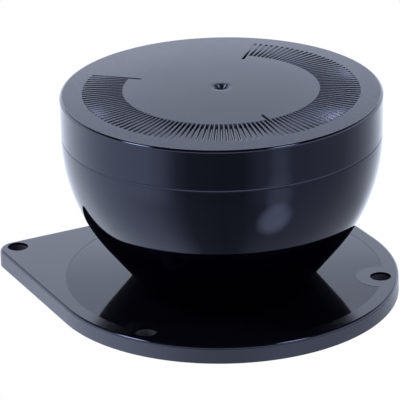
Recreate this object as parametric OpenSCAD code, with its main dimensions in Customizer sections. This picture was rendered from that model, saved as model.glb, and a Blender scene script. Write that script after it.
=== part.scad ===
// Compact lidar scanner: a bowl-shaped scan window on a D-shaped mounting flange.
// Origin: scan axis at the underside of the flange. +Z up, scan front (0 degrees) towards -Y.

/* [Flange] */
// Width of the mounting flange, side to side
flange_w = 150; // [148:1:156]
// Thickness of the flange
flange_t = 7.4; // [7.2:0.1:7.6]
// Distance from the scan axis to the straight rear edge
rear_edge = 75.4; // [75:0.2:80]
// Radius of the two rear corners
corner_r = 8; // [6:0.5:12]
// Rounding of the flange's upper edge
flange_round = 1.1; // [0.6:0.1:1.6]
// Diameter of the four mounting holes
hole_d = 9; // [6:0.5:9]
// Sideways distance between the two front holes
front_pitch = 112; // [110:1:114]
// Front holes: distance ahead of the scan axis
front_hole_y = 37.2; // [36:0.2:38]
// Sideways distance between the two rear holes
rear_pitch = 133; // [130:1:134]
// Rear holes: distance behind the scan axis
rear_hole_y = 69; // [67:0.5:69.5]

/* [Head] */
// Radius of the head's upright band
head_r = 68; // [67.6:0.1:68.4]
// Height of the parting line between the window and the cap
ring_z = 73.4; // [73.2:0.1:73.6]
// Height of the cap's rim
rim_z = 90.6; // [90.4:0.1:91]
// Rise of the crowned top above its rim
crown = 1.9; // [1.5:0.1:2.2]
// Rounding of the cap's rim
rim_round = 1.2; // [0.8:0.1:1.6]
// Wall thickness of the window and the cap
wall = 3; // [2.6:0.1:3]
// Radius where the window stands on the flange
foot_r = 37.8; // [37.6:0.1:38.2]
// Lean of the window's lower cone, from the vertical
cone_angle = 38.1; // [37.8:0.1:38.4]
// Radius of the window's curved upper wall
bowl_r = 75.3; // [75.1:0.1:75.5]

/* [Scale on the cap] */
// Angle swept by the scanner
scan_angle = 275; // [250:5:275]
// Angle between two grooves
groove_pitch = 2.5; // [2.5:2.5:5]
// Width of a groove
groove_w = 1; // [0.7:0.1:1.2]
// Depth of a groove
groove_depth = 0.8; // [0.4:0.1:1]
// Inner end of the ordinary grooves
groove_in = 41.4; // [40:0.2:44]
// Inner end of the three long grooves
groove_long = 36; // [34:0.5:38]
// Outer end of all grooves
groove_out = 58.6; // [56:0.2:60]

/* [Optics] */
// Radius of the round turning mirror, seen from above
mirror_r = 13.2; // [11:0.2:13.2]
// Height of the mirror's centre
mirror_z = 53.2; // [52.8:0.1:53.4]
// Number of windows in the encoder disc
encoder_slots = 72; // [36:36:72]

/* [Motor] */
// Shaft diameter
shaft_d = 4; // [4:1:4]
// Number of stator teeth
stator_teeth = 9; // [6:3:9]
// Number of rotor magnets
magnet_count = 12; // [8:4:12]

/* [Hidden] */

$fn = 96;
eps = 0.05;
front = -90;

// Window wall: a cone that runs tangent into an arc centred near the scan axis
bowl_z = ring_z - 0.8;
bowl_c = head_r - 0.1 - bowl_r;
bowl_steps = 14;

// Flange and base
polish_r = head_r + 0.2;
polish_depth = 0.08;
lobe_r = 10.5;
opening_r = 19.2;
cover_r = 26.4;
cover_t = 1.9;
gasket_t = 0.5;
recess_t = cover_t + gasket_t;
foot_in = 27.5;
foot_t = 5.5;
hood_screw_r = 31.8;
chassis_screw_r = 23.3;
cover_screw_r = 22.9;
plug_y = 9.5;
plug_r = 5.5;
plug_depth = 5.5;
insert_r = 5.2;
vent_at = [13, -8];

// Cap
roof_z = 88.2;
spigot_r = 64.5;
spigot_drop = 4;
seal_z = ring_z - 2.9;
boss_ring = 52;

// Chassis
base_r = 27.2;
base_top = 16.4;
barrel_r = 17.5;
barrel_bore = 14.6;
barrel_top = 37.6;
column_w = 22;
column_y = 27.5;
column_d = 8;
deck_z = 84.2;
deck_t = 2.5;
deck_r = 26;
board_z = 79.2;
board_t = 1.6;

// Motor, from the deck down
bearing_od = 11;
bearing_t = 4;
bearing_zs = [deck_z - 2, deck_z - 11.3];
tube_r = 7.4;
tube_bottom = deck_z - 12.1;
bell_r = 20.4;
bell_wall = 1.5;
bell_floor = 69.3;
bell_floor_t = 2.2;
bell_top = deck_z - 2;
stator_r = 17;
stator_z = 74.3;
stator_t = 6.4;
encoder_r = 26.5;

module ring(outer, inner, z, t) {
    translate([0, 0, z]) difference() {
        cylinder(r = outer, h = t);
        translate([0, 0, -1]) cylinder(r = inner, h = t + 2);
    }
}

module disc(r, z, t) {
    translate([0, 0, z]) cylinder(r = r, h = t);
}

module box(size, at) {
    translate([at[0] - size[0] / 2, at[1] - size[1] / 2, at[2]]) cube(size);
}

module around(count, r, first = 0) {
    for (i = [0:count - 1])
        rotate([0, 0, first + i * 360 / count]) translate([r, 0, 0]) children();
}

// Screw standing on its head: the shank points along +Z from the head's seat
module screw_up(r, length, head_r, head_t) {
    cylinder(r = r, h = length);
    difference() {
        translate([0, 0, -head_t]) cylinder(r = head_r, h = head_t);
        translate([0, 0, -head_t - 1]) cylinder(r = r * 0.8, h = head_t * 0.6 + 1, $fn = 6);
    }
}

// Countersunk screw: the head's flat face lies at z = 0 and the shank points along +Z
module flush_screw_up(r, length, head_r) {
    difference() {
        union() {
            cylinder(r1 = head_r, r2 = r, h = head_r - r);
            cylinder(r = r, h = length);
        }
        translate([0, 0, -1]) cylinder(r = r * 0.75, h = 1.9, $fn = 6);
    }
}

// ---- Flange and window ----

// Half section of a slab: w wide, with its upper outer edge rounded
module slab_profile(w) {
    square([w, flange_t - flange_round]);
    square([w - flange_round, flange_t]);
    translate([w - flange_round, flange_t - flange_round]) circle(r = flange_round);
}

module mounting_holes(r) {
    for (s = [-1, 1]) {
        translate([s * front_pitch / 2, -front_hole_y]) circle(r = r);
        translate([s * rear_pitch / 2, rear_hole_y]) circle(r = r);
    }
}

// A round front, two straight sides, a straight rear strip and two round corners, fused
module flange_body() {
    w = flange_w / 2;
    c = corner_r;
    y = rear_edge - c;
    rotate_extrude($fn = 180) slab_profile(w);
    for (s = [0, 1]) mirror([s, 0, 0])
        rotate([90, 0, 180]) linear_extrude(height = y) mirror([1, 0, 0]) slab_profile(w);
    for (s = [-1, 1]) translate([s * (w - c), y, 0]) rotate_extrude() slab_profile(c);
    translate([-(w - c), 0, 0]) rotate([90, 0, 90]) linear_extrude(height = 2 * (w - c))
        slab_profile(rear_edge);
}

module flange_plate() {
    color([0.05, 0.05, 0.06]) difference() {
        flange_body();
        translate([0, 0, -1]) linear_extrude(height = flange_t + 2) mounting_holes(hole_d / 2);
        translate([0, 0, flange_t - polish_depth]) linear_extrude(height = 1) difference() {
            circle(r = polish_r, $fn = 180);
            for (s = [-1, 1]) translate([s * front_pitch / 2, -front_hole_y]) circle(r = lobe_r);
        }
        disc(opening_r, -1, flange_t + 2);
        disc(cover_r + 0.2, -1, recess_t + 1);
        around(6, hood_screw_r, 30) {
            disc(1.6, -1, flange_t + 2);
            disc(3.1, -1, 4.2);
        }
        around(3, chassis_screw_r, front) {
            disc(1.85, 0, flange_t + 1);
            disc(3.15, 0, 5);
        }
        around(4, cover_screw_r, 45) disc(1.25, 0, 6.4);
    }
}

// Profile of the window's surface, moved inwards by inset: cone, then the arc in short steps
module bowl_profile(inset) {
    r = bowl_r - inset;
    tan_r = bowl_c + r * cos(cone_angle);
    tan_z = bowl_z - r * sin(cone_angle);
    bottom_z = flange_t - 1;
    bottom_r = tan_r - (tan_z - bottom_z) * tan(cone_angle);
    arc = [for (i = [0:bowl_steps]) let (a = cone_angle * (1 - i / bowl_steps))
        [bowl_c + r * cos(a), bowl_z - r * sin(a)]];
    polygon(concat([[0, bottom_z], [bottom_r, bottom_z]], arc, [[bowl_c + r, ring_z], [0, ring_z]]));
}

module foot_fillet() {
    r = 1.5;
    c = foot_r + r * tan(cone_angle) + r / cos(cone_angle) - 0.12;
    difference() {
        translate([foot_r - 2, flange_t - 1]) square([4.4, r + 0.6]);
        translate([c, flange_t + r]) circle(r = r);
    }
}

module scan_window() {
    z0 = flange_t - polish_depth;
    color([0.04, 0.04, 0.05]) difference() {
        rotate_extrude($fn = 180) difference() {
            union() {
                bowl_profile(0);
                foot_fillet();
            }
            translate([-1, 0]) square([head_r + 10, z0]);
            difference() {
                bowl_profile(wall);
                translate([foot_in, 0]) square([20, flange_t + foot_t]);
            }
            translate([-1, 0]) square([foot_in + 1, flange_t + foot_t + 1]);
            translate([34.3, z0 - 1]) square([2, 2.2]);
        }
        around(6, hood_screw_r, 30) disc(1.55, z0 - 1, foot_t);
    }
}

module foot_seal() {
    color([0.1, 0.1, 0.1]) ring(36.2, 34.4, flange_t - polish_depth, 1.15);
}

module hood_screws() {
    color("silver") around(6, hood_screw_r, 30) translate([0, 0, 3.2]) screw_up(1.5, 8, 2.75, 2.6);
}

// ---- Cap ----

module cap_profile() {
    edge = head_r - rim_round;
    crown_r = (edge * edge + crown * crown) / (2 * crown);
    intersection() {
        translate([0, rim_z + crown - crown_r]) circle(r = crown_r, $fn = 1440);
        union() {
            translate([0, ring_z + 0.2]) square([edge, rim_z + crown - ring_z]);
            translate([0, ring_z + 0.2]) square([head_r, rim_z - rim_round - ring_z - 0.2]);
            translate([edge, rim_z - rim_round]) circle(r = rim_round);
        }
    }
}

module cap_grooves() {
    count = scan_angle / groove_pitch;
    for (i = [0:count]) {
        inner = i % (count / 2) == 0 ? groove_long : groove_in;
        z = rim_z + crown * (1 - pow((inner + groove_out) / 2 / head_r, 2)) - groove_depth;
        rotate([0, 0, front - scan_angle / 2 + i * groove_pitch])
            translate([inner, -groove_w / 2, z]) cube([groove_out - inner, groove_w, 4]);
    }
}

// The cap turned as one piece: crowned top with its dimple, band, and spigot with a seal groove
module cap_turned() {
    top = rim_z + crown;
    rotate_extrude($fn = 180) difference() {
        union() {
            cap_profile();
            translate([spigot_r - 2.6, ring_z - spigot_drop]) square([2.6, spigot_drop + 1]);
        }
        polygon([[-1, top - 1.5], [2.1, top - 1.5], [3.6, top + 0.1], [-1, top + 0.1]]);
        translate([-1, ring_z - 6]) square([spigot_r - 1.6, roof_z - ring_z + 6]);
        translate([spigot_r - 1.2, seal_z - 0.9]) square([3, 1.8]);
    }
}

module top_cap() {
    color([0.13, 0.13, 0.14]) difference() {
        union() {
            difference() {
                cap_turned();
                cap_grooves();
            }
            around(4, boss_ring, 45) disc(4, deck_z + deck_t, roof_z - deck_z - deck_t + 0.3);
            for (i = [0:7]) rotate([0, 0, i * 45])
                translate([30, -0.7, roof_z - 1.1]) cube([33.2, 1.4, 1.3]);
        }
        around(4, boss_ring, 45) disc(1.3, deck_z, 5.2);
    }
}

module cap_seal() {
    color([0.1, 0.1, 0.1]) ring(spigot_r + 0.2, spigot_r - 1.15, seal_z - 0.8, 1.6);
}

// ---- Underside ----

module base_cover() {
    color([0.12, 0.12, 0.13]) difference() {
        disc(cover_r, 0, cover_t);
        translate([0, plug_y]) disc(8.2, -1, cover_t + 2);
        translate(vent_at) disc(2.2, -1, cover_t + 2);
        translate(vent_at) disc(3.4, -1, 1.9);
        box([20, 9, 1.2], [-3, -10, -1]);
        around(4, cover_screw_r, 45) {
            disc(1.3, -1, cover_t + 2);
            translate([0, 0, -eps]) cylinder(r1 = 2.55, r2 = 1.3, h = 1.25);
        }
    }
}

module cover_gasket() {
    color([0.25, 0.25, 0.25]) difference() {
        ring(cover_r, opening_r + 0.2, cover_t, gasket_t);
        around(4, cover_screw_r, 45) disc(1.3, 0, 5);
    }
}

module cover_screws() {
    color("silver") around(4, cover_screw_r, 45) translate([0, 0, 0.05]) flush_screw_up(1.2, 6, 2.3);
}

module chassis_screws() {
    color("silver") around(3, chassis_screw_r, front) translate([0, 0, 5]) screw_up(1.75, 8.5, 3, 2.4);
}

module connector_shell() {
    color("goldenrod") translate([0, plug_y, 0]) difference() {
        union() {
            disc(8.1, 0.3, 1.6);
            disc(7, 0.3, 11.8);
        }
        disc(plug_r, 0, 0.3 + plug_depth);
        disc(insert_r, 0, 13);
    }
}

module pin_layout() {
    children();
    around(7, 2.75, 90) children();
}

module connector_insert() {
    color([0.15, 0.15, 0.15]) translate([0, plug_y, 0]) difference() {
        disc(insert_r - eps, 9, 3.1);
        pin_layout() disc(0.42, 8, 5);
    }
}

module contact_pins() {
    color("gold") translate([0, plug_y, 6.1]) pin_layout() {
        disc(0.4, 0.4, 7.4);
        cylinder(r1 = 0.2, r2 = 0.4, h = 0.4);
    }
}

module connector_board() {
    color("darkgreen") difference() {
        disc(18.6, 12.2, 1.4);
        translate([0, plug_y]) pin_layout() disc(0.42, 11, 4);
    }
}

module vent_plug() {
    color([0.3, 0.3, 0.3]) translate(vent_at) {
        disc(3.3, 0.2, 0.65);
        disc(2.15, 0.5, 3);
        disc(2.6, 1.95, 0.7);
    }
}

module type_label() {
    color("silver") box([19.6, 8.6, 0.15], [-3, -10, 0.05]);
}

// ---- Chassis ----

module shelf_outline() {
    intersection() {
        circle(r = 37.4);
        union() {
            translate([-17, 20]) square([34, 13]);
            translate([-column_w / 2, 20]) square([column_w, column_y + column_d - 20]);
        }
    }
}

module chassis_base() {
    color([0.55, 0.56, 0.58]) difference() {
        union() {
            disc(base_r, flange_t, base_top - flange_t);
            disc(22, base_top - 1, 3);
            translate([0, 0, base_top + 2]) cylinder(r1 = 22, r2 = barrel_r, h = 5);
            disc(barrel_r, base_top, barrel_top - base_top);
            translate([0, 0, base_top - 3]) linear_extrude(height = 3) shelf_outline();
        }
        disc(opening_r + 0.3, 0, base_top);
        disc(12, 0, 30);
        disc(barrel_bore, base_top + 2, 40);
        box([17.4, 40, 1.6], [0, 36, 13.5]);
        around(3, chassis_screw_r, front) disc(1.8, 0, 14.5);
        for (s = [-1, 1]) translate([s * 14, 30]) disc(1.25, 0, 30);
    }
}

module chassis_column() {
    color([0.5, 0.51, 0.53]) difference() {
        union() {
            box([column_w, column_d, deck_z - base_top], [0, column_y + column_d / 2, base_top]);
            box([34, 5.5, 3], [0, column_y + 2.75, base_top]);
        }
        box([column_w - 6, 5, 52], [0, column_y + column_d, base_top + 8]);
        for (s = [-1, 1]) {
            translate([s * 14, 30]) disc(1.3, 0, 30);
            translate([s * 6, 31.5]) disc(1.3, deck_z - 6, 8);
        }
    }
}

module motor_deck() {
    color([0.6, 0.61, 0.63]) difference() {
        union() {
            disc(deck_r, deck_z, deck_t);
            disc(tube_r, tube_bottom, deck_z - tube_bottom + 1);
            for (i = [0:3]) rotate([0, 0, 45 + i * 90]) {
                translate([10, -4, deck_z]) cube([boss_ring - 10, 8, deck_t]);
                translate([boss_ring, 0]) disc(4, deck_z, deck_t);
            }
            box([column_w, 20, deck_t], [0, column_y + column_d - 10, deck_z]);
        }
        disc(bearing_od / 2 - 0.9, tube_bottom - 1, 20);
        disc(bearing_od / 2, bearing_zs[0] - 0.5, 10);
        disc(bearing_od / 2, tube_bottom - 1, bearing_zs[1] + bearing_t - tube_bottom + 1);
        around(4, boss_ring, 45) disc(1.35, deck_z - 1, 5);
        for (s = [-1, 1]) translate([s * 6, 31.5, deck_z - 1]) {
            disc(1.35, 0, 5);
            translate([0, 0, deck_t - 0.35]) cylinder(r1 = 1.25, r2 = 2.65, h = 1.4);
        }
        around(4, 20, 0) disc(2.6, deck_z - 1, 5);
    }
}

module column_screws() {
    color("silver") {
        for (s = [-1, 1]) {
            translate([s * 6, 31.5, deck_z + deck_t - 0.05]) rotate([180, 0, 0]) flush_screw_up(1.2, 7.5, 2.3);
            translate([s * 14, 30, base_top + 3]) rotate([180, 0, 0]) screw_up(1.2, 5.6, 2.2, 1.6);
        }
    }
}

module deck_screws() {
    color("silver") around(4, boss_ring, 45) translate([0, 0, board_z]) screw_up(1.2, 9.9, 2.2, 1.7);
}

module board_spacers() {
    color("gold") around(4, boss_ring, 45) ring(2.75, 1.35, board_z + board_t, deck_z - board_z - board_t);
}

module main_board() {
    color("darkgreen") difference() {
        ring(60, 22.6, board_z, board_t);
        box([column_w + 4, 12, 4], [0, column_y + 5, board_z - 1]);
        around(4, boss_ring, 45) disc(1.35, board_z - 1, 4);
    }
}

// Integrated circuits: width, depth, height and centre, above (1) or below (0) the board
chips = [
    [14, 14, 1.6, -38, -6, 1], [10, 10, 1.2, -38, 13, 1], [12, 8, 1.1, 37, 10, 1],
    [8, 8, 1, 36, -8, 1], [6, 5, 1.5, -20, -44, 1], [9, 7, 1.4, 6, -44, 1],
    [12, 12, 2.6, 22, -46, 0], [12, 12, 2.6, -22, -46, 0], [7, 5, 1.7, 46, 8, 0],
    [5, 6, 1.7, -50, 4, 0], [16, 6, 2, 0, -52, 0]];

module board_chips() {
    color([0.1, 0.1, 0.1]) for (c = chips)
        box([c[0], c[1], c[2]], [c[3], c[4], c[5] == 1 ? board_z + board_t : board_z - c[2]]);
}

module board_capacitors() {
    color([0.7, 0.7, 0.72]) for (a = [200, 212, 328, 340]) rotate([0, 0, a]) translate([46, 0, 0]) {
        disc(3.1, board_z - 6.2, 6.2);
        box([6.6, 6.6, 0.8], [0, 0, board_z - 0.8]);
    }
}

module flex_sockets() {
    color([0.85, 0.82, 0.75]) {
        box([18, 4.6, 1.9], [0, 44.4, board_z + board_t]);
        box([17, 3.4, 0.9], [0, 16.6, 13.6]);
    }
}

// Flat cable: along the base, up behind the column and over to the main board
module flex_path(t) {
    low = 13.9;
    back = column_y + column_d + 0.5;
    top = board_z + board_t + 0.8;
    bend = 1.2;
    translate([18.4, low]) square([back - bend - 18.4, t]);
    translate([back - bend, low + bend]) difference() {
        circle(r = bend);
        circle(r = bend - t);
        translate([-5, -5]) square([5, 10]);
        translate([-5, 0]) square([10, 5]);
    }
    translate([back - t, low + bend]) square([t, top - bend - low - bend]);
    translate([back - t + bend, top - bend]) difference() {
        circle(r = bend);
        circle(r = bend - t);
        translate([0, -5]) square([5, 10]);
        translate([-5, -5]) square([10, 5]);
    }
    translate([back - t + bend, top - t]) square([42 - back + t - bend, t]);
}

module flex_cable() {
    color("orange") translate([-8, 0, 0]) rotate([90, 0, 90]) linear_extrude(height = 16) flex_path(0.3);
}

// ---- Optics ----

module lens_body(r, z, t, bulge) {
    curve_r = (r * r + bulge * bulge) / (2 * bulge);
    rotate_extrude() intersection() {
        translate([0, z]) square([r, t]);
        translate([0, z + t - curve_r]) circle(r = curve_r, $fn = 360);
        translate([0, z + curve_r]) circle(r = curve_r, $fn = 360);
    }
}

module receiver_lens() {
    color([0.6, 0.7, 0.8, 0.5]) difference() {
        lens_body(barrel_bore - eps, 30.2, 6.6, 2.4);
        disc(3.55, 25, 15);
    }
}

module lens_retainer() {
    color([0.12, 0.12, 0.12]) difference() {
        union() {
            ring(barrel_bore - eps, 12.8, 35.7, 1.9);
            ring(barrel_bore - eps, 12.8, 28.6, 2.4);
        }
        disc(13.7, 28, 0.8);
        lens_body(barrel_bore, 30.1, 6.8, 2.4);
    }
}

module emitter_tube() {
    color([0.15, 0.15, 0.15]) difference() {
        disc(3.5, 20.6, 18);
        disc(2.9, 20, 15);
        disc(2.4, 20, 20);
        disc(2.9, 36.6, 5);
    }
}

module collimator_lens() {
    color([0.6, 0.7, 0.85, 0.5]) lens_body(2.85, 36.6, 1.8, 0.5);
}

module laser_diode() {
    color("gold") {
        disc(2.85, 20.7, 1.2);
        disc(1.9, 21.8, 2.4);
        around(3, 1.1, 30) disc(0.22, 19.3, 1.5);
    }
}

module laser_board() {
    color("darkgreen") difference() {
        union() {
            disc(4.4, 19.6, 0.9);
            translate([0, -1.5, 19.6]) cube([barrel_bore - 0.1, 3, 0.9]);
        }
        around(3, 1.1, 30) disc(0.26, 19, 3);
    }
}

module detector_diode() {
    color("silver") {
        disc(4.6, 16.2, 0.6);
        disc(4.1, 16.2, 2.5);
    }
}

module detector_board() {
    color("darkgreen") difference() {
        disc(19, 14.9, 1.3);
        box([18, 6, 4], [0, 18, 13]);
    }
}

module light_baffle() {
    color([0.08, 0.08, 0.08]) difference() {
        ring(barrel_bore - eps, 9, 24, 3.2);
        translate([0, 0, 24.9]) cylinder(r1 = 9, r2 = 13.6, h = 2.4);
    }
}

module reference_target() {
    color([0.35, 0.35, 0.37]) box([14, 1.3, 22], [0, column_y - 0.65, 42]);
}

// ---- Encoder ----

module encoder_sensor() {
    color([0.1, 0.1, 0.1]) difference() {
        box([9, 8, 11.2], [28, 0, board_z - 11.2]);
        box([8.4, 10, 2], [27.4 - 0.5, 0, 70.9]);
    }
}

module encoder_disc() {
    color([0.75, 0.76, 0.78]) difference() {
        ring(encoder_r, bell_r + eps, bell_floor + bell_floor_t, 0.8);
        for (i = [0:encoder_slots - 1]) rotate([0, 0, i * 360 / encoder_slots])
            translate([24, -0.45, 70]) cube([1.8, 0.9, 4]);
    }
}

// ---- Motor ----

module motor_board() {
    color("darkgreen") ring(23.5, tube_r + 0.1, deck_z - 1.1, 1.1);
}

module stator_core() {
    color([0.35, 0.36, 0.38]) difference() {
        union() {
            disc(9.6, stator_z, stator_t);
            intersection() {
                disc(stator_r, stator_z, stator_t);
                for (i = [0:stator_teeth - 1]) rotate([0, 0, i * 360 / stator_teeth]) {
                    translate([8, -1.3, stator_z]) cube([12, 2.6, stator_t]);
                    translate([15.5, -4.4, stator_z]) cube([4, 8.8, stator_t]);
                }
            }
        }
        disc(tube_r + eps, stator_z - 1, stator_t + 2);
    }
}

module stator_windings() {
    color("chocolate") for (i = [0:stator_teeth - 1]) rotate([0, 0, i * 360 / stator_teeth])
        difference() {
            translate([10, -2.7, stator_z - 1.1]) cube([5.2, 5.4, stator_t + 2.2]);
            translate([9, -1.35, stator_z - eps]) cube([8, 2.7, stator_t + 2 * eps]);
        }
}

module bearing_outer_rings() {
    color("silver") for (z = bearing_zs) ring(bearing_od / 2, bearing_od / 2 - 0.9, z, bearing_t);
}

module bearing_inner_rings() {
    color("silver") for (z = bearing_zs) ring(2.9, shaft_d / 2, z, bearing_t);
}

module bearing_balls() {
    color("white") for (z = bearing_zs) translate([0, 0, z + bearing_t / 2])
        around(7, 3.75) sphere(r = 0.82, $fn = 48);
}

module wave_washer() {
    color("silver") ring(5.4, 4.7, bearing_zs[0] - 0.45, 0.4);
}

module motor_shaft() {
    color([0.8, 0.8, 0.82]) difference() {
        disc(shaft_d / 2, 67.3, 20.1);
        ring(3, shaft_d / 2 - 0.35, bearing_zs[0] + bearing_t + eps, 0.5);
    }
}

module retaining_clip() {
    color([0.3, 0.3, 0.3]) difference() {
        ring(3.3, shaft_d / 2 - 0.3, bearing_zs[0] + bearing_t + eps, 0.5);
        translate([0, -0.8, 80]) cube([5, 1.6, 10]);
    }
}

module rotor_bell() {
    color([0.62, 0.63, 0.65]) difference() {
        union() {
            disc(bell_r, bell_floor, bell_top - bell_floor);
            disc(23.2, bell_floor, bell_floor_t);
            disc(6, 67.3, 3);
        }
        ring(bell_r - bell_wall, 2.85, bell_floor + bell_floor_t, 20);
        disc(shaft_d / 2 + 0.03, 60, 30);
        disc(3, bearing_zs[1], 20);
        around(6, 13.5, 30) disc(2.2, 60, 15);
        around(3, 10, front) disc(1.05, 60, 15);
    }
}

module rotor_magnets() {
    step = 360 / magnet_count;
    color([0.25, 0.25, 0.27]) for (i = [0:magnet_count - 1]) rotate([0, 0, i * step])
        translate([0, 0, 73.8]) rotate_extrude(angle = step - 1.5)
            translate([stator_r + 0.45, 0]) square([bell_r - bell_wall - stator_r - 0.45, 7.4]);
}

// ---- Turning mirror ----

// Half-space above the 45 degree plane that meets the axis at height z
module above_plane(z) {
    translate([0, 0, z]) rotate([-45, 0, 0]) translate([-40, -60, 0]) cube([80, 120, 60]);
}

module mirror_carrier() {
    back = 2.2 * sqrt(2);
    color([0.3, 0.31, 0.33]) difference() {
        union() {
            disc(17, 67.1, 2.2);
            intersection() {
                disc(mirror_r + 1, 38, 30);
                above_plane(mirror_z + back);
            }
        }
        disc(6.1, 67.2, 5);
        intersection() {
            box([15, 12, 20], [0, 6.5, 47]);
            above_plane(mirror_z + back + 5);
        }
        around(3, 10, front) disc(1.25, 60, 15);
    }
}

module scan_mirror() {
    back = 2.2 * sqrt(2);
    color([0.85, 0.87, 0.9]) difference() {
        intersection() {
            disc(mirror_r, 36, 40);
            above_plane(mirror_z);
        }
        above_plane(mirror_z + back);
        disc(30, 67.05, 20);
    }
}

module carrier_screws() {
    color("silver") around(3, 10, front) translate([0, 0, bell_floor + bell_floor_t])
        rotate([180, 0, 0]) screw_up(1, 4.2, 1.9, 1.2);
}

module balance_weights() {
    color("goldenrod") for (s = [-1, 1]) rotate([0, 0, front + s * 24])
        translate([0, 0, 67.2]) rotate_extrude(angle = 16, start = -8)
            translate([17.2, 0]) square([4.6, 2.1]);
}

flange_plate();
scan_window();
top_cap();
foot_seal();
cap_seal();
hood_screws();
base_cover();
cover_gasket();
cover_screws();
chassis_screws();
connector_shell();
connector_insert();
contact_pins();
connector_board();
vent_plug();
type_label();
chassis_base();
chassis_column();
motor_deck();
column_screws();
deck_screws();
board_spacers();
main_board();
board_chips();
board_capacitors();
flex_sockets();
flex_cable();
receiver_lens();
lens_retainer();
emitter_tube();
collimator_lens();
laser_diode();
laser_board();
detector_diode();
detector_board();
light_baffle();
reference_target();
encoder_sensor();
motor_board();
stator_core();
stator_windings();
bearing_outer_rings();
bearing_balls();
wave_washer();
motor_shaft();
bearing_inner_rings();
retaining_clip();
rotor_bell();
rotor_magnets();
encoder_disc();
mirror_carrier();
scan_mirror();
carrier_screws();
balance_weights();
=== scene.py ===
import math
import bmesh
import bpy
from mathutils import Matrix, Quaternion, Vector


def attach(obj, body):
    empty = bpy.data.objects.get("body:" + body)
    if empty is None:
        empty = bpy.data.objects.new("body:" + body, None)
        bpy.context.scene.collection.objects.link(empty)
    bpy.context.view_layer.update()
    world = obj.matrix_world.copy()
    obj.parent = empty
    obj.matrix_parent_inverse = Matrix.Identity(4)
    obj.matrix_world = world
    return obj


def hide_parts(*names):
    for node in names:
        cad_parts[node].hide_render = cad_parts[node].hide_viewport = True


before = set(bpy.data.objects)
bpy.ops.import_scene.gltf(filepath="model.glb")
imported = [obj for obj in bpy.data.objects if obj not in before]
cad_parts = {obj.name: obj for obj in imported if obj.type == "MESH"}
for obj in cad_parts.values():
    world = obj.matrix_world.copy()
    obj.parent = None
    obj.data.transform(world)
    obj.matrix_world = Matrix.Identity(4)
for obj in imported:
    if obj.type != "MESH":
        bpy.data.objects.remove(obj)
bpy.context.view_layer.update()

mm = 0.001
print("frame loaded:", len(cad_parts), "nodes")


# Camera, lens in millimetres on a 36 mm sensor
camera = {
    "place": (-0.5265, -1.0221, 0.5244),
    "target": (-0.0088, 0.0044, 0.0412),
    "lens": 263.37,
    "roll": -1.172,
}


def placeCamera(c):
    data = bpy.data.cameras.new("studioCamera")
    data.sensor_width = 36
    data.lens = c["lens"]
    data.clip_start = 0.05
    data.clip_end = 20
    cam = bpy.data.objects.new("studioCamera", data)
    aim = (Vector(c["target"]) - Vector(c["place"])).to_track_quat("-Z", "Y")
    cam.rotation_mode = "QUATERNION"
    cam.rotation_quaternion = aim @ Quaternion((0, 0, 1), math.radians(c["roll"]))
    cam.location = c["place"]
    bpy.context.scene.collection.objects.link(cam)
    bpy.context.scene.camera = cam


placeCamera(camera)
scene = bpy.context.scene
scene.view_settings.view_transform = "Standard"
scene.view_settings.look = "None"
print("camera placed")


# Small node helpers

def node(tree, kind, inputs=None, **settings):
    n = tree.nodes.new(kind)
    for key, value in settings.items():
        setattr(n, key, value)
    for key, value in (inputs or {}).items():
        if isinstance(value, bpy.types.NodeSocket):
            tree.links.new(value, n.inputs[key])
        else:
            n.inputs[key].default_value = value
    return n


def calc(tree, op, a, b=None, c=None):
    n = tree.nodes.new("ShaderNodeMath")
    n.operation = op
    for i, value in enumerate((a, b, c)):
        if value is None:
            continue
        if isinstance(value, bpy.types.NodeSocket):
            tree.links.new(value, n.inputs[i])
        else:
            n.inputs[i].default_value = value
    return n.outputs[0]


def smoothBand(tree, value, low, high):
    n = node(tree, "ShaderNodeMapRange", {"Value": value, "From Min": low, "From Max": high})
    n.interpolation_type = "SMOOTHSTEP"
    return n.outputs["Result"]


def blend(tree, factor, a, b):
    n = node(tree, "ShaderNodeMix", data_type="RGBA")
    for socket, value in ((n.inputs[0], factor), (n.inputs[6], a), (n.inputs[7], b)):
        if isinstance(value, bpy.types.NodeSocket):
            tree.links.new(value, socket)
        else:
            socket.default_value = value if not isinstance(value, tuple) else (*value[:3], 1)
    return n.outputs[2]


def ramp(tree, factor, stops):
    n = node(tree, "ShaderNodeValToRGB", {"Fac": factor})
    items = n.color_ramp.elements
    while len(items) < len(stops):
        items.new(0.5)
    for item, (at, colour) in zip(items, stops):
        item.position = at
        item.color = (*colour, 1)
    return n.outputs["Color"]


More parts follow.
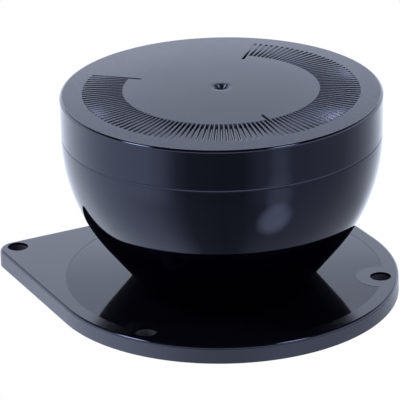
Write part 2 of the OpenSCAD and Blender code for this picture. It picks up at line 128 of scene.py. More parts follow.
# Studio: a pale tent with a dim opening in front, seen only in reflections
studio = {
    "turn": 116.76,                      # brings the front of the tent round to the camera
    "tint": (0.93, 1.0, 1.15),
    "below": [                           # angle round from the camera, brightness
        (-180, 1.25), (-150, 1.45), (-120, 1.38), (-95, 1.2), (-55, 1.18), (-44, 0.85), (-34, 0.36),
        (-24, 0.19), (0, 0.15), (14, 0.16), (26, 0.36), (38, 0.46), (60, 0.4), (95, 0.43),
        (112, 0.6), (128, 0.85), (142, 1.2), (156, 1.45), (180, 1.3)],
    "deep": [
        (-180, 1.1), (-160, 1.15), (-140, 1.32), (-128, 1.45), (-112, 1.25), (-88, 1.1), (-66, 0.98),
        (-54, 0.82), (-41, 0.52), (-27, 0.22), (0, 0.17), (18, 0.19), (29, 0.3), (43, 0.38), (60, 0.42),
        (80, 0.42), (102, 0.5), (123, 0.56), (140, 0.66), (150, 0.86), (160, 1.1), (180, 1.1)],
    "above": [
        (-180, 1.0), (-150, 1.05), (-90, 0.88), (-40, 0.66), (40, 0.66), (90, 0.8), (150, 0.86), (180, 0.96)],
    "horizonGain": 2.0,                  # the tent wall is brighter close to the table
    "roof": 0.06,
    "fades": {                           # heights on the unit sphere where one ring gives way to the next
        "deep": (-0.41, -0.6), "wall": (-0.12, 0.06), "horizon": (0.414, 0.388), "roof": (0.52, 0.66)},
    "patch": [                           # angle, elevation, inner, outer, gain
        (42, -43, 1, 12.5, 1.0), (41, -29, 2, 11, 0.35), (-82, 50, 4, 10, 18), (64, 58, 4, 9, 12)],
    "secondBounce": 0.04,                # light left for surfaces that mirror each other
}


def outward(angle, rise):
    a = math.radians(angle)
    e = math.radians(rise)
    return math.cos(a) * math.cos(e), math.sin(a) * math.cos(e), math.sin(e)


def makeWorld(s):
    world = bpy.data.worlds.new("tent")
    scene.world = world
    world.use_nodes = True
    tree = world.node_tree
    tree.nodes.clear()
    where = node(tree, "ShaderNodeTexCoord").outputs["Generated"]
    turned = node(tree, "ShaderNodeVectorRotate", {"Vector": where, "Angle": math.radians(s["turn"])},
                  rotation_type="Z_AXIS").outputs[0]
    axes = node(tree, "ShaderNodeSeparateXYZ", {0: turned}).outputs
    angle = calc(tree, "MULTIPLY_ADD", calc(tree, "ARCTAN2", axes[1], axes[0]), 0.5 / math.pi, 0.5)

    def ring(stops):
        grey = [(0.5 + a / 360, (v / 2, v / 2, v / 2)) for a, v in stops]   # halved here, doubled at the end
        return ramp(tree, angle, grey)

    def fade(name):
        return smoothBand(tree, axes[2], *s["fades"][name])

    low = blend(tree, fade("deep"), ring(s["below"]), ring(s["deep"]))
    start, stop = s["fades"]["horizon"]
    gain = node(tree, "ShaderNodeMapRange", {"Value": axes[2], "From Min": start, "From Max": stop,
                "To Min": 1.0, "To Max": s["horizonGain"]}, interpolation_type="SMOOTHSTEP").outputs[0]
    scaled = node(tree, "ShaderNodeVectorMath", {0: ring(s["above"]), "Scale": gain}, operation="SCALE")
    light = blend(tree, fade("wall"), low, scaled.outputs[0])
    light = blend(tree, fade("roof"), light, (s["roof"] / 2,) * 3)
    for a, e, inner, outer, gain in s["patch"]:
        dot = node(tree, "ShaderNodeVectorMath", {0: turned, 1: outward(a, e)}, operation="DOT_PRODUCT")
        limits = (math.cos(math.radians(outer)), math.cos(math.radians(inner)))
        spot = smoothBand(tree, dot.outputs["Value"], *limits)
        more = node(tree, "ShaderNodeMix", data_type="RGBA", blend_type="ADD")
        tree.links.new(spot, more.inputs[0])
        tree.links.new(light, more.inputs[6])
        more.inputs[7].default_value = (gain / 2, gain / 2, gain / 2, 1)
        light = more.outputs[2]
    tinted = node(tree, "ShaderNodeMix", data_type="RGBA", blend_type="MULTIPLY")
    tinted.inputs[0].default_value = 1
    tree.links.new(light, tinted.inputs[6])
    tinted.inputs[7].default_value = (*s["tint"], 1)
    depth = node(tree, "ShaderNodeLightPath").outputs["Ray Depth"]   # 2 after the first mirror, 3 after two
    power = node(tree, "ShaderNodeMapRange", {"Value": depth, "From Min": 2.4, "From Max": 2.6,
                 "To Min": 2.0, "To Max": 2.0 * s["secondBounce"]}).outputs[0]
    tent = node(tree, "ShaderNodeBackground", {"Color": tinted.outputs[2], "Strength": power})
    plain = node(tree, "ShaderNodeBackground", {"Color": (1, 1, 1, 1), "Strength": 1.0})
    seen = node(tree, "ShaderNodeLightPath").outputs["Is Camera Ray"]
    both = node(tree, "ShaderNodeMixShader", {0: seen, 1: tent.outputs[0], 2: plain.outputs[0]})
    node(tree, "ShaderNodeOutputWorld", {"Surface": both.outputs[0]})


# Softboxes: angle round from the camera, elevation, distance, width, height, power
softboxes = {
    "leftBox": (-82, 50, 1.2, 0.42, 0.26, 9.0),
    "rightBox": (64, 58, 1.2, 0.3, 0.22, 4.0),
}


def placeSoftboxes():
    for name, (angle, rise, distance, width, height, power) in softboxes.items():
        data = bpy.data.lights.new(name, "AREA")
        data.shape = "RECTANGLE"
        data.size = width
        data.size_y = height
        data.energy = power
        box = bpy.data.objects.new(name, data)
        box.location = Vector(outward(angle - studio["turn"], rise)) * distance
        box.rotation_mode = "QUATERNION"
        box.rotation_quaternion = (-box.location).to_track_quat("-Z", "Y")
        box.visible_camera = False
        box.visible_glossy = False
        scene.collection.objects.link(box)


def layFloor():
    bm = bmesh.new()
    bmesh.ops.create_grid(bm, x_segments=8, y_segments=8, size=2.5)
    mesh = bpy.data.meshes.new("floor")
    bm.to_mesh(mesh)
    bm.free()
    floor = bpy.data.objects.new("floor", mesh)
    floor.location.z = -0.0004
    scene.collection.objects.link(floor)
    paint = bpy.data.materials.new("paleFloor")
    paint.use_nodes = True
    tree = paint.node_tree
    tree.nodes.clear()
    pale = node(tree, "ShaderNodeEmission", {"Color": (1, 1, 1, 1), "Strength": 1.0})
    clear = node(tree, "ShaderNodeBsdfTransparent")
    under = node(tree, "ShaderNodeNewGeometry").outputs["Backfacing"]
    both = node(tree, "ShaderNodeMixShader", {0: under, 1: pale.outputs[0], 2: clear.outputs[0]})
    node(tree, "ShaderNodeOutputMaterial", {"Surface": both.outputs[0]})
    mesh.materials.append(paint)
    floor.visible_glossy = False
    floor.visible_diffuse = False
    floor.visible_shadow = False
    floor.visible_transmission = False


# Dark discs under the mounting holes keep light from below out of the reflections
holeShade = {
    "places": [(-0.056, -0.0372), (0.056, -0.0372), (-0.0665, 0.069), (0.0665, 0.069)],
    "radius": 0.0056,
    "height": -0.0002,
}


def shadeHoles(h):
    bm = bmesh.new()
    for x, y in h["places"]:
        made = bmesh.ops.create_circle(bm, cap_ends=True, segments=24, radius=h["radius"])["verts"]
        bmesh.ops.translate(bm, verts=made, vec=(x, y, h["height"]))
    mesh = bpy.data.meshes.new("holeShade")
    bm.to_mesh(mesh)
    bm.free()
    shade = bpy.data.objects.new("holeShade", mesh)
    scene.collection.objects.link(shade)
    dark = bpy.data.materials.new("holeShade")
    dark.use_nodes = True
    dark.node_tree.nodes.clear()
    black = node(dark.node_tree, "ShaderNodeEmission", {"Color": (0, 0, 0, 1), "Strength": 0.0})
    node(dark.node_tree, "ShaderNodeOutputMaterial", {"Surface": black.outputs[0]})
    mesh.materials.append(dark)
    shade.visible_camera = False
    shade.visible_diffuse = False
    shade.visible_shadow = False


makeWorld(studio)
placeSoftboxes()
layFloor()
shadeHoles(holeShade)
print("studio lit")


# Finishes. Sizes of grain and waves are in millimetres.

def shader(name):
    material = bpy.data.materials.new(name)
    material.use_nodes = True
    tree = material.node_tree
    tree.nodes.clear()
    skin = tree.nodes.new("ShaderNodeBsdfPrincipled")
    node(tree, "ShaderNodeOutputMaterial", {"Surface": skin.outputs[0]})
    where = node(tree, "ShaderNodeTexCoord").outputs["Object"]
    return material, tree, skin, where


def speckle(tree, where, size, detail=2.0, stretch=None):
    if stretch:
        where = node(tree, "ShaderNodeVectorMath", {0: where, 1: stretch}, operation="MULTIPLY").outputs[0]
    n = node(tree, "ShaderNodeTexNoise", {"Vector": where, "Scale": 1 / (size * mm), "Detail": detail})
    return n.outputs["Fac"]


def connect(tree, skin, **values):
    names = {"colour": "Base Color", "rough": "Roughness", "normal": "Normal", "metal": "Metallic",
             "level": "Specular IOR Level", "tint": "Specular Tint", "ior": "IOR", "coat": "Coat Weight",
             "clear": "Transmission Weight"}
    for key, value in values.items():
        socket = skin.inputs[names[key]]
        if isinstance(value, bpy.types.NodeSocket):
            tree.links.new(value, socket)
        elif isinstance(value, tuple):
            socket.default_value = (*value, 1)
        else:
            socket.default_value = value


def between(tree, factor, low, high):
    return node(tree, "ShaderNodeMapRange", {"Value": factor, "To Min": low, "To Max": high}).outputs[0]


def bump(tree, height, strength, depth):
    inputs = {"Height": height, "Strength": strength, "Distance": depth * mm}
    return node(tree, "ShaderNodeBump", inputs).outputs[0]


def mixValue(tree, factor, a, b):
    return node(tree, "ShaderNodeMix", {0: factor, 2: a, 3: b}).outputs[0]


def halfEach(tree, a, b):
    return calc(tree, "ADD", calc(tree, "MULTIPLY", a, 0.5), calc(tree, "MULTIPLY", b, 0.5))


def fromAxis(tree, axes):
    across = calc(tree, "MULTIPLY", axes[0], axes[0])
    along = calc(tree, "MULTIPLY", axes[1], axes[1])
    return calc(tree, "SQRT", calc(tree, "ADD", across, along))


# Marks left by the way a part was made: each returns a height from 0 to 1
def turnedMarks(tree, where, size):
    axes = node(tree, "ShaderNodeSeparateXYZ", {0: where}).outputs
    along = node(tree, "ShaderNodeCombineXYZ", {0: fromAxis(tree, axes), 2: axes[2]}).outputs[0]
    return speckle(tree, along, size, 3)


def brushedMarks(tree, where, size):
    return speckle(tree, where, size, 3, (0.06, 1, 1))


def layerMarks(tree, where, size):
    n = node(tree, "ShaderNodeTexWave", {"Vector": where, "Scale": 0.314 / (size * mm), "Distortion": 0.3},
             wave_type="BANDS", bands_direction="Z")
    return n.outputs["Fac"]


def sandMarks(tree, where, size):
    return speckle(tree, where, size, 4)


marks = {"turned": turnedMarks, "brushed": brushedMarks, "layers": layerMarks, "sand": sandMarks}


def makeFinish(name, f):
    material, tree, skin, where = shader(name)
    cloud = speckle(tree, where, f.get("cloud", 14), 3)
    fine = marks[f.get("marks", "sand")](tree, where, f.get("grain", 0.4))
    colour = blend(tree, cloud, f["colour"], f.get("other", tuple(c * 0.8 for c in f["colour"])))
    rubbed = tuple(min(1, c * 1.8 + 0.01) for c in f["colour"])
    shade = blend(tree, between(tree, fine, 0, f.get("wear", 0.12)), colour, rubbed)
    low, high = f["rough"]
    spare = 0.3 * (high - low)
    rough = between(tree, halfEach(tree, cloud, fine), low - spare, high + spare)
    normal = bump(tree, fine, f.get("push", 0.3), f.get("depth", 0.03))
    connect(tree, skin, colour=shade, rough=rough, normal=normal, metal=f.get("metal", 0.0))
    for key in ("ior", "coat", "clear"):
        if key in f:
            connect(tree, skin, **{key: f[key]})
    return material


finishes = {
    "seal_rubber": {"colour": (0.012, 0.012, 0.013), "rough": (0.6, 0.8), "grain": 0.25, "push": 0.4},
    "gasket_rubber": {"colour": (0.03, 0.03, 0.032), "rough": (0.65, 0.85), "grain": 0.3, "push": 0.4},
    "screw_steel": {"colour": (0.55, 0.56, 0.58), "metal": 1.0, "rough": (0.22, 0.4), "grain": 0.15,
                    "push": 0.2},
    "cover_black": {"colour": (0.009, 0.009, 0.011), "rough": (0.38, 0.52), "grain": 0.5, "push": 0.35},
    "plated_brass": {"colour": (0.62, 0.6, 0.54), "other": (0.5, 0.46, 0.36), "metal": 1.0,
                     "rough": (0.2, 0.34), "grain": 0.12, "marks": "turned", "push": 0.25},
    "insert_plastic": {"colour": (0.02, 0.02, 0.022), "rough": (0.4, 0.55), "grain": 0.3},
    "gold_contacts": {"colour": (0.9, 0.62, 0.22), "metal": 1.0, "rough": (0.15, 0.28), "grain": 0.1,
                      "push": 0.1},
    "vent_plastic": {"colour": (0.07, 0.07, 0.075), "rough": (0.5, 0.65), "grain": 0.2, "push": 0.5},
    "cast_aluminium": {"colour": (0.42, 0.43, 0.44), "other": (0.34, 0.35, 0.36), "metal": 1.0,
                       "rough": (0.42, 0.6), "grain": 0.6, "push": 0.5, "depth": 0.06},
    "chip_plastic": {"colour": (0.018, 0.018, 0.02), "rough": (0.45, 0.6), "grain": 0.12, "push": 0.3},
    "capacitor_can": {"colour": (0.7, 0.71, 0.73), "metal": 1.0, "rough": (0.18, 0.3), "grain": 0.1},
    "socket_plastic": {"colour": (0.62, 0.55, 0.42), "rough": (0.4, 0.55), "grain": 0.2},
    "flex_film": {"colour": (0.55, 0.22, 0.03), "other": (0.45, 0.15, 0.02), "rough": (0.18, 0.3),
                  "grain": 0.9, "marks": "brushed", "push": 0.15, "coat": 0.4},
    "barrel_black": {"colour": (0.01, 0.01, 0.011), "rough": (0.5, 0.65), "grain": 0.12, "marks": "turned",
                     "push": 0.3},
    "target_grey": {"colour": (0.2, 0.2, 0.2), "rough": (0.85, 0.95), "grain": 0.1, "push": 0.3},
    "lamination_steel": {"colour": (0.3, 0.31, 0.33), "metal": 1.0, "rough": (0.35, 0.5), "grain": 0.35,
                         "marks": "layers", "push": 0.8, "depth": 0.06},
    "copper_wire": {"colour": (0.72, 0.26, 0.1), "other": (0.6, 0.18, 0.07), "metal": 1.0,
                    "rough": (0.2, 0.34), "grain": 0.42, "marks": "layers", "push": 1.0, "depth": 0.12,
                    "coat": 0.5},
    "bearing_steel": {"colour": (0.66, 0.66, 0.67), "metal": 1.0, "rough": (0.08, 0.18), "grain": 0.1,
                      "marks": "turned", "push": 0.12},
    "spring_steel": {"colour": (0.4, 0.4, 0.42), "metal": 1.0, "rough": (0.25, 0.38), "grain": 0.12},
    "turned_aluminium": {"colour": (0.68, 0.69, 0.7), "metal": 1.0, "rough": (0.2, 0.34), "grain": 0.14,
                         "marks": "turned", "push": 0.35},
    "magnet_grey": {"colour": (0.32, 0.32, 0.33), "metal": 1.0, "rough": (0.35, 0.5), "grain": 0.2},
    "encoder_metal": {"colour": (0.5, 0.51, 0.53), "metal": 1.0, "rough": (0.18, 0.3), "grain": 0.3,
                      "marks": "brushed", "push": 0.2},
    "carrier_black": {"colour": (0.015, 0.015, 0.016), "rough": (0.45, 0.6), "grain": 0.14, "marks": "turned",
                      "push": 0.3},
    "mirror_coating": {"colour": (0.86, 0.87, 0.88), "other": (0.84, 0.85, 0.88), "metal": 1.0,
                       "rough": (0.01, 0.03), "grain": 3, "push": 0.01, "wear": 0.02},
    "lens_glass": {"colour": (0.75, 0.85, 0.98), "rough": (0.01, 0.04), "clear": 0.95, "ior": 1.52,
                   "grain": 2, "push": 0.01, "wear": 0.02, "coat": 0.6},
}


# Circuit boards: solder mask over copper tracks, with tinned pads
def makeBoard(name):
    material, tree, skin, where = shader(name)
    tracks = node(tree, "ShaderNodeTexBrick", {"Vector": where, "Scale": 1.0, "Mortar Size": 0.00022,
                  "Mortar Smooth": 0.1, "Brick Width": 0.0062, "Row Height": 0.0011,
                  "Color1": (0, 0, 0, 1), "Color2": (0, 0, 0, 1), "Mortar": (1, 1, 1, 1)})
    tracks.offset = 0.37
    cells = node(tree, "ShaderNodeTexVoronoi", {"Vector": where, "Scale": 330.0})
    pad = smoothBand(tree, cells.outputs["Distance"], 0.2, 0.17)
    cloud = speckle(tree, where, 9, 3)
    mask = blend(tree, cloud, (0.004, 0.06, 0.018), (0.006, 0.085, 0.026))
    green = blend(tree, tracks.outputs["Color"], mask, (0.012, 0.13, 0.045))
    colour = blend(tree, pad, green, (0.62, 0.6, 0.55))
    height = calc(tree, "ADD", calc(tree, "MULTIPLY", tracks.outputs["Color"], 0.4), pad)
    connect(tree, skin, colour=colour, rough=between(tree, pad, 0.26, 0.36), metal=pad,
            normal=bump(tree, height, 0.4, 0.05))
    return material


# Blank rating plate: satin foil with a plain dark border and an empty panel
plate = {
    "centre": (-3, -10), "half": (9.8, 4.3), "margin": 0.4, "edge": 0.45,
    "foil": (0.7, 0.71, 0.73), "foilShade": (0.6, 0.61, 0.63), "ink": (0.03, 0.03, 0.035),
}


def makePlate(name):
    material, tree, skin, where = shader(name)
    axes = node(tree, "ShaderNodeSeparateXYZ", {0: where}).outputs
    x = calc(tree, "ABSOLUTE", calc(tree, "SUBTRACT", axes[0], plate["centre"][0] * mm))
    y = calc(tree, "ABSOLUTE", calc(tree, "SUBTRACT", axes[1], plate["centre"][1] * mm))
    gapX = calc(tree, "SUBTRACT", plate["half"][0] * mm, x)
    gapY = calc(tree, "SUBTRACT", plate["half"][1] * mm, y)
    gap = calc(tree, "MINIMUM", gapX, gapY)
    starts = plate["margin"]
    soft = starts + 0.06
    border = calc(tree, "MULTIPLY", smoothBand(tree, gap, starts * mm, soft * mm),
                  smoothBand(tree, gap, (soft + plate["edge"]) * mm, (starts + plate["edge"]) * mm))
    brushed = brushedMarks(tree, where, 0.3)
    foil = blend(tree, brushed, plate["foil"], plate["foilShade"])
    inked = calc(tree, "SUBTRACT", 1.0, border)
    connect(tree, skin, colour=blend(tree, border, foil, plate["ink"]), metal=inked,
            rough=between(tree, brushed, 0.28, 0.45), normal=bump(tree, brushed, 0.15, 0.02))
    return material


# Window and band: deep gloss, with the slight ripple that moulded plastic has
glossBlack = {"colour": (0.0006, 0.0006, 0.0022), "rough": (0.035, 0.07), "ripple": 22, "level": 0.72,
              "tint": (0.64, 0.69, 1.0)}


def makeGloss(name, g):
    material, tree, skin, where = shader(name)
    cloud = speckle(tree, where, 30, 3)
    ripple = speckle(tree, where, g["ripple"], 1)
    dust = smoothBand(tree, speckle(tree, where, 0.5, 2), 0.66, 0.78)
    rough = calc(tree, "ADD", between(tree, cloud, *g["rough"]), calc(tree, "MULTIPLY", dust, 0.05))
    connect(tree, skin, colour=g["colour"], rough=rough, normal=bump(tree, ripple, 0.12, 0.12),
            level=g["level"], tint=g["tint"])
    return material


# Cap: fine matte grain inside the rim, gloss on the rim and band
capFace = {
    "edge": 66.75, "top": 92.5, "ball": 1175, "grain": 0.34, "rough": (0.34, 0.44), "slot": 0.27,
    # outer: a lighter colour towards the rim of the top, painted light standing in for the brighter outer
    # ring of the disc
    "colour": (0.003, 0.0035, 0.012), "outer": (0.032, 0.034, 0.05),
}


def makeCap(name, g, c):
    material, tree, skin, where = shader(name)
    axes = node(tree, "ShaderNodeSeparateXYZ", {0: where}).outputs
    radius = fromAxis(tree, axes)
    grain = speckle(tree, where, c["grain"], 3)
    cloud = speckle(tree, where, 25, 3)
    ripple = speckle(tree, where, g["ripple"], 1)
    crown = smoothBand(tree, radius, (c["edge"] + 0.1) * mm, (c["edge"] - 0.1) * mm)
    square = calc(tree, "MULTIPLY", radius, radius)
    dome = calc(tree, "MULTIPLY_ADD", square, 1 / (c["ball"] * 2 * mm), axes[2])   # level on the crowned top
    onTop = smoothBand(tree, dome, (c["top"] - 0.22) * mm, (c["top"] - 0.1) * mm)
    inside = calc(tree, "MULTIPLY", crown, onTop)
    slots = calc(tree, "MULTIPLY", crown, smoothBand(tree, axes[2], 89 * mm, 89.4 * mm))
    shiny = mixValue(tree, slots, between(tree, cloud, *g["rough"]), c["slot"])
    # Painted light: the matte top turns lighter from 20 mm out to 62 mm, standing in for the brighter light
    # the outer ring catches
    toneWithPaintedLight = blend(tree, smoothBand(tree, radius, 20 * mm, 62 * mm), c["colour"], c["outer"])
    matte = blend(tree, smoothBand(tree, grain, 0.35, 0.65), toneWithPaintedLight, tuple(0.5 * v for v in c["colour"]))
    roughMatte = between(tree, calc(tree, "ADD", calc(tree, "MULTIPLY", grain, 0.6),
                                    calc(tree, "MULTIPLY", cloud, 0.4)), *c["rough"])
    rough = mixValue(tree, inside, shiny, roughMatte)
    height = mixValue(tree, inside, calc(tree, "MULTIPLY", ripple, 4.0), grain)
    connect(tree, skin, colour=blend(tree, inside, g["colour"], matte), rough=rough,
            normal=bump(tree, height, 0.3, 0.03), level=g["level"], tint=g["tint"])
    return material


# Flange: a satin top with a polished circle under the window, and a duller edge whose lighter colour is
# painted light
flangeSkin = {
    # The edge colour is painted light: a lighter copy of the same black standing in for the light the rough
    # edge catches; the edge's greater roughness is real
    "colour": (0.0012, 0.0012, 0.0028), "paintedLightSide": (0.058, 0.06, 0.072), "dark": (0.0006, 0.0006, 0.001),
    "satin": (0.15, 0.2), "polished": (0.04, 0.07), "edge": (0.36, 0.46),
    "step": 7.36, "shoulder": 6.3, "grain": 0.28,
}


def makeFlange(name, g, f):
    material, tree, skin, where = shader(name)
    axes = node(tree, "ShaderNodeSeparateXYZ", {0: where}).outputs
    grain = speckle(tree, where, f["grain"], 3)
    cloud = speckle(tree, where, 30, 3)
    mixed = halfEach(tree, grain, cloud)
    raised = smoothBand(tree, axes[2], (f["step"] - 0.01) * mm, (f["step"] + 0.01) * mm)
    side = smoothBand(tree, axes[2], (f["shoulder"] + 0.15) * mm, (f["shoulder"] - 0.15) * mm)
    top = mixValue(tree, raised, between(tree, mixed, *f["polished"]), between(tree, mixed, *f["satin"]))
    rough = mixValue(tree, side, top, between(tree, mixed, *f["edge"]))
    depth = calc(tree, "ADD", calc(tree, "MULTIPLY", raised, 0.6), calc(tree, "ADD", side, 0.06))
    # Painted light: below the shoulder the edge takes the lighter colour
    toneWithPaintedLight = blend(tree, side, f["colour"], f["paintedLightSide"])
    shade = blend(tree, between(tree, grain, 0.0, 0.6), toneWithPaintedLight, f["dark"])
    normal = bump(tree, calc(tree, "MULTIPLY", grain, depth), 0.25, 0.02)
    connect(tree, skin, colour=shade, rough=rough, normal=normal, level=g["level"], tint=g["tint"])
    return material


skins = {name: makeFinish(name, values) for name, values in finishes.items()}
skins["board_green"] = makeBoard("board_green")
skins["label_foil"] = makePlate("label_foil")
skins["window_black"] = makeGloss("window_black", glossBlack)
skins["cap_black"] = makeCap("cap_black", glossBlack, capFace)
skins["flange_black"] = makeFlange("flange_black", glossBlack, flangeSkin)

for name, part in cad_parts.items():
    for place in part.material_slots:
        place.material = skins[place.material.name.split(".")[0]]
print("finishes made:", len(skins))


# Meshes. Profiles are lists of (radius, height) in millimetres, turned round the scan axis.

def newPiece(name, bm, slotName, sharp):
    bmesh.ops.remove_doubles(bm, verts=bm.verts, dist=1e-6)
    bmesh.ops.recalc_face_normals(bm, faces=bm.faces)
    mesh = bpy.data.meshes.new(name)
    bm.to_mesh(mesh)
    bm.free()
    mesh.shade_smooth()
    mesh.set_sharp_from_angle(angle=math.radians(sharp))
    piece = bpy.data.objects.new(name, mesh)
    scene.collection.objects.link(piece)
    mesh.materials.append(skins[slotName])
    even = piece.modifiers.new("evenNormals", "WEIGHTED_NORMAL")
    even.keep_sharp = True
    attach(piece, "housing")
    return piece


def ringOf(bm, radius, height, count, centre):
    points = []
    for i in range(count):
        a = 2 * math.pi * i / count
        points.append(bm.verts.new(((centre[0] + radius * math.cos(a)) * mm,
                                    (centre[1] + radius * math.sin(a)) * mm, height * mm)))
    return points


def joinRings(bm, first, second):
    for i in range(len(first)):
        j = (i + 1) % len(first)
        if len(second) == 1:
            bm.faces.new((first[i], second[0], first[j]))
        else:
            bm.faces.new((first[i], second[i], second[j], first[j]))


def lathe(bm, profile, count, centre=(0, 0)):
    rings = [ringOf(bm, r, z, count, centre) for r, z in profile]
    for first, second in zip(rings, rings[1:] + rings[:1]):
        joinRings(bm, first, second)


def arc(centre, radius, start, stop, steps):
    points = []
    for i in range(steps + 1):
        a = math.radians(start + (stop - start) * i / steps)
        points.append((centre[0] + radius * math.cos(a), centre[1] + radius * math.sin(a)))
    return points


# Window: one turned wall, a cone running into an arc, with a lip at the ring line
window = {
    "footTop": 7.32, "spigot": 64.7, "cone": 38.1, "bowl": 75.3, "bowlHeight": 72.6, "head": 68, "ring": 73.4,
    "wall": 3, "lip": 1.3, "lipLean": 0.16, "around": 288, "steps": 56,
}


def bowlCurve(w, inset):
    r = w["bowl"] - inset
    centre = (w["head"] - 0.1 - w["bowl"], w["bowlHeight"])
    return arc(centre, r, -w["cone"], 0, w["steps"])


def makeWindow(w):
    slope = math.tan(math.radians(w["cone"]))
    outer = bowlCurve(w, 0)
    r0, z0 = outer[0]
    top = w["footTop"]
    foot = [(r0 - (z0 - z) * slope, z) for z in (top, 12, 16, 20, 24) if z < z0 - 0.5]
    lipLow = w["ring"] - w["lip"]
    outer = [(r, z) for r, z in outer if z < lipLow - 0.25]
    head = w["head"] - 0.1
    lip = [(head, lipLow - 0.05), (head + 0.02, lipLow + 0.02), (head + 0.02, lipLow + 0.12),
           (head - w["lipLean"] * 0.5, w["ring"] - 0.55), (head - w["lipLean"], w["ring"] - 0.1),
           (head - w["lipLean"] - 0.08, w["ring"]), (w["spigot"], w["ring"]),
           (w["spigot"], w["ring"] - 0.3)]
    inner = bowlCurve(w, w["wall"])
    s0, t0 = inner[0]
    inner = list(reversed([(min(r, w["spigot"]), z) for r, z in inner if z < w["ring"] - 0.4]))
    heel = [(s0 - (t0 - z) * slope, z) for z in (20, 14.5)]
    sole = [(29, 12.9), (27.5, 12.7), (27.5, top + 0.2), (27.7, top), (34.3, top), (34.3, 8.52),
            (36.3, 8.52), (36.3, top)]
    bm = bmesh.new()
    lathe(bm, foot + outer + lip + inner + heel + sole, w["around"])
    piece = newPiece("windowBowl", bm, "window_black", 32)
    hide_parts("scan_window")


makeWindow(window)
print("window made")


# Cap: crowned disc with radial grooves and a dimple, rounded rim, band, spigot, bosses and ribs
cap = {
    "head": 68, "rim": 90.6, "crown": 1.9, "round": 1.2, "low": 73.6, "roof": 88.2,
    "spigot": 64.5, "spigotLow": 69.4, "spigotWall": 2.6, "sealHeight": 70.5,
    "pitch": 2.5, "grooves": 111, "first": -227.5, "inner": 41.4, "long": 36.0, "outer": 58.6,
    "width": 1.36, "depth": 0.8, "bevel": 0.06, "draft": 0.42,
    "dimple": (2.1, 3.55, 1.5), "boss": (52, 4, 1.3), "deck": 86.7,
    "ribs": 8, "rib": (33.2 - 1.3, 1.4, 1.3), "longEvery": 55,
}


def capHeight(c, r):
    edge = c["head"] - c["round"]
    ball = (edge * edge + c["crown"] ** 2) / (2 * c["crown"])
    return c["rim"] + c["crown"] - ball + math.sqrt(ball * ball - r * r)


def polar(bm, r, turn, z):
    return bm.verts.new((r * mm * math.cos(turn), r * mm * math.sin(turn), z * mm))


def makeGrooveField(bm, c):
    half = c["width"] / 2
    lanes = (-half - c["bevel"], -half, -half + c["draft"], half - c["draft"], half, half + c["bevel"])
    sectors = round(360 / c["pitch"])
    rs = [c["long"] - 1.2]
    for start in (c["long"], c["inner"]):
        rs += [start - c["bevel"], start, start + c["draft"]]
    rs[4:4] = [38, 40]
    rs += [45, 49, 53, 56.5, c["outer"] - c["draft"], c["outer"], c["outer"] + c["bevel"], c["outer"] + 1.2]
    rows = []
    for r in sorted(rs):
        row = []
        for i in range(sectors):
            a = math.radians(c["first"] + i * c["pitch"])
            grooved = i < c["grooves"]
            start = c["long"] if i % c["longEvery"] == 0 else c["inner"]
            mean = (start + c["outer"]) / 2 / c["head"]
            floor = c["rim"] + c["crown"] * (1 - mean * mean) - c["depth"]
            for k, lane in enumerate(lanes):
                turn = a + math.asin(lane / max(r, c["long"]))
                z = capHeight(c, r)
                edgeLane = k in (1, 4)
                if grooved and 0 < k < 5 and start - 1e-6 <= r <= c["outer"] + 1e-6:
                    edgeRow = abs(r - start) < 1e-6 or abs(r - c["outer"]) < 1e-6
                    z = z - c["bevel"] * 0.7 if edgeLane or edgeRow else floor
                row.append(polar(bm, r, turn, z))
            turn = a + math.radians(c["pitch"] / 2)
            row.append(polar(bm, r, turn, capHeight(c, r)))
        rows.append(row)
    for first, second in zip(rows, rows[1:]):
        joinRings(bm, first, second)
    return rows[0], rows[-1], sectors


def fanRing(bm, fine, r, sectors, c):
    coarse = turnedRing(bm, r, capHeight(c, r), c, sectors)
    perSector = len(fine) // sectors
    for i in range(sectors):
        j = (i + 1) % sectors
        edge = [fine[(i * perSector + perSector - 1 + k) % len(fine)] for k in range(perSector + 1)]
        bm.faces.new([coarse[i], *edge, coarse[j]])
    return coarse


def turnedRing(bm, r, z, c, sectors):
    if r < 1e-6:
        return [bm.verts.new((0, 0, z * mm))]
    start = math.radians(c["first"] + c["pitch"] / 2)
    return [polar(bm, r, start + math.radians(i * c["pitch"]), z) for i in range(sectors)]


def joinProfile(bm, last, profile, c, sectors):
    for r, z in profile:
        ring = turnedRing(bm, r, z, c, sectors)
        joinRings(bm, last, ring)
        last = ring


def addTube(bm, x, y, outer, inner, low, high, count=32):
    lathe(bm, [(outer, low), (outer, high), (inner, high), (inner, low)], count, (x, y))


def addBar(bm, angle, size, centre):
    for v in bmesh.ops.create_cube(bm, size=1)["verts"]:
        x = v.co.x * size[0] + centre[0]
        y = v.co.y * size[1] + centre[1]
        z = v.co.z * size[2] + centre[2]
        v.co = (mm * (x * math.cos(angle) - y * math.sin(angle)),
                mm * (x * math.sin(angle) + y * math.cos(angle)), mm * z)


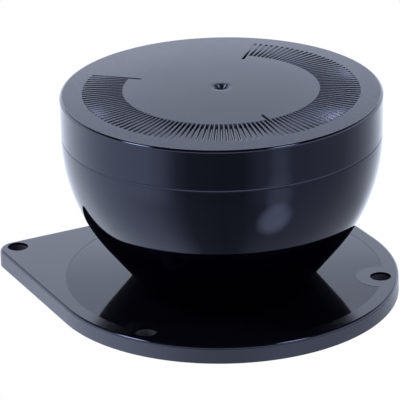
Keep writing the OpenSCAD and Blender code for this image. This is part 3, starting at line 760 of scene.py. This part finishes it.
def makeCapShell(c):
    bm = bmesh.new()
    nearRow, farRow, sectors = makeGrooveField(bm, c)
    inner = fanRing(bm, nearRow, 33.2, sectors, c)
    low, high, deep = c["dimple"]
    top = c["rim"] + c["crown"]
    dish = [(r, capHeight(c, r)) for r in (28, 22, 16, 10, 5.5)]
    dish += [(high + 0.16, capHeight(c, high)), (high, top - 0.06), (low + 0.2, top - deep + 0.2),
             (low - 0.05, top - deep), (0, top - deep)]
    joinProfile(bm, inner, dish, c, sectors)
    edge = c["head"] - c["round"]
    outer = fanRing(bm, farRow, 60.6, sectors, c)
    wall = c["spigot"] - c["spigotWall"]
    seal = (c["sealHeight"] - 0.9, c["sealHeight"] + 0.9)
    side = [(r, capHeight(c, r)) for r in (62.5, 64.8, 66.3)]
    side += arc((edge, c["rim"] - c["round"]), c["round"], 90, 0, 10)
    side += [(c["head"], c["rim"] - 2), (c["head"], 84), (c["head"], 79), (c["head"], c["low"] + 0.35),
             (c["head"] - 0.12, c["low"]), (c["spigot"], c["low"] - 0.2), (c["spigot"], seal[1]),
             (c["spigot"] - 1.2, seal[1]), (c["spigot"] - 1.2, seal[0]), (c["spigot"], seal[0]),
             (c["spigot"], c["spigotLow"] + 0.3), (c["spigot"] - 0.3, c["spigotLow"]), (wall, c["spigotLow"]),
             (wall, c["roof"] - 0.6), (wall - 0.6, c["roof"]), (45, c["roof"]), (20, c["roof"]),
             (0, c["roof"])]
    joinProfile(bm, outer, side, c, sectors)
    pitchCircle, bossOuter, bossInner = c["boss"]
    for k in range(4):
        a = math.radians(45 + 90 * k)
        addTube(bm, pitchCircle * math.cos(a), pitchCircle * math.sin(a), bossOuter, bossInner,
                c["deck"], c["roof"] + 0.3)
    for k in range(c["ribs"]):
        turn = math.radians(360 / c["ribs"] * k)
        addBar(bm, turn, c["rib"], (30 + c["rib"][0] / 2, 0, c["roof"] - 0.45))
    piece = newPiece("capShell", bm, "cap_black", 24)
    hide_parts("top_cap")


makeCapShell(cap)
print("cap made")


print("pieces done")
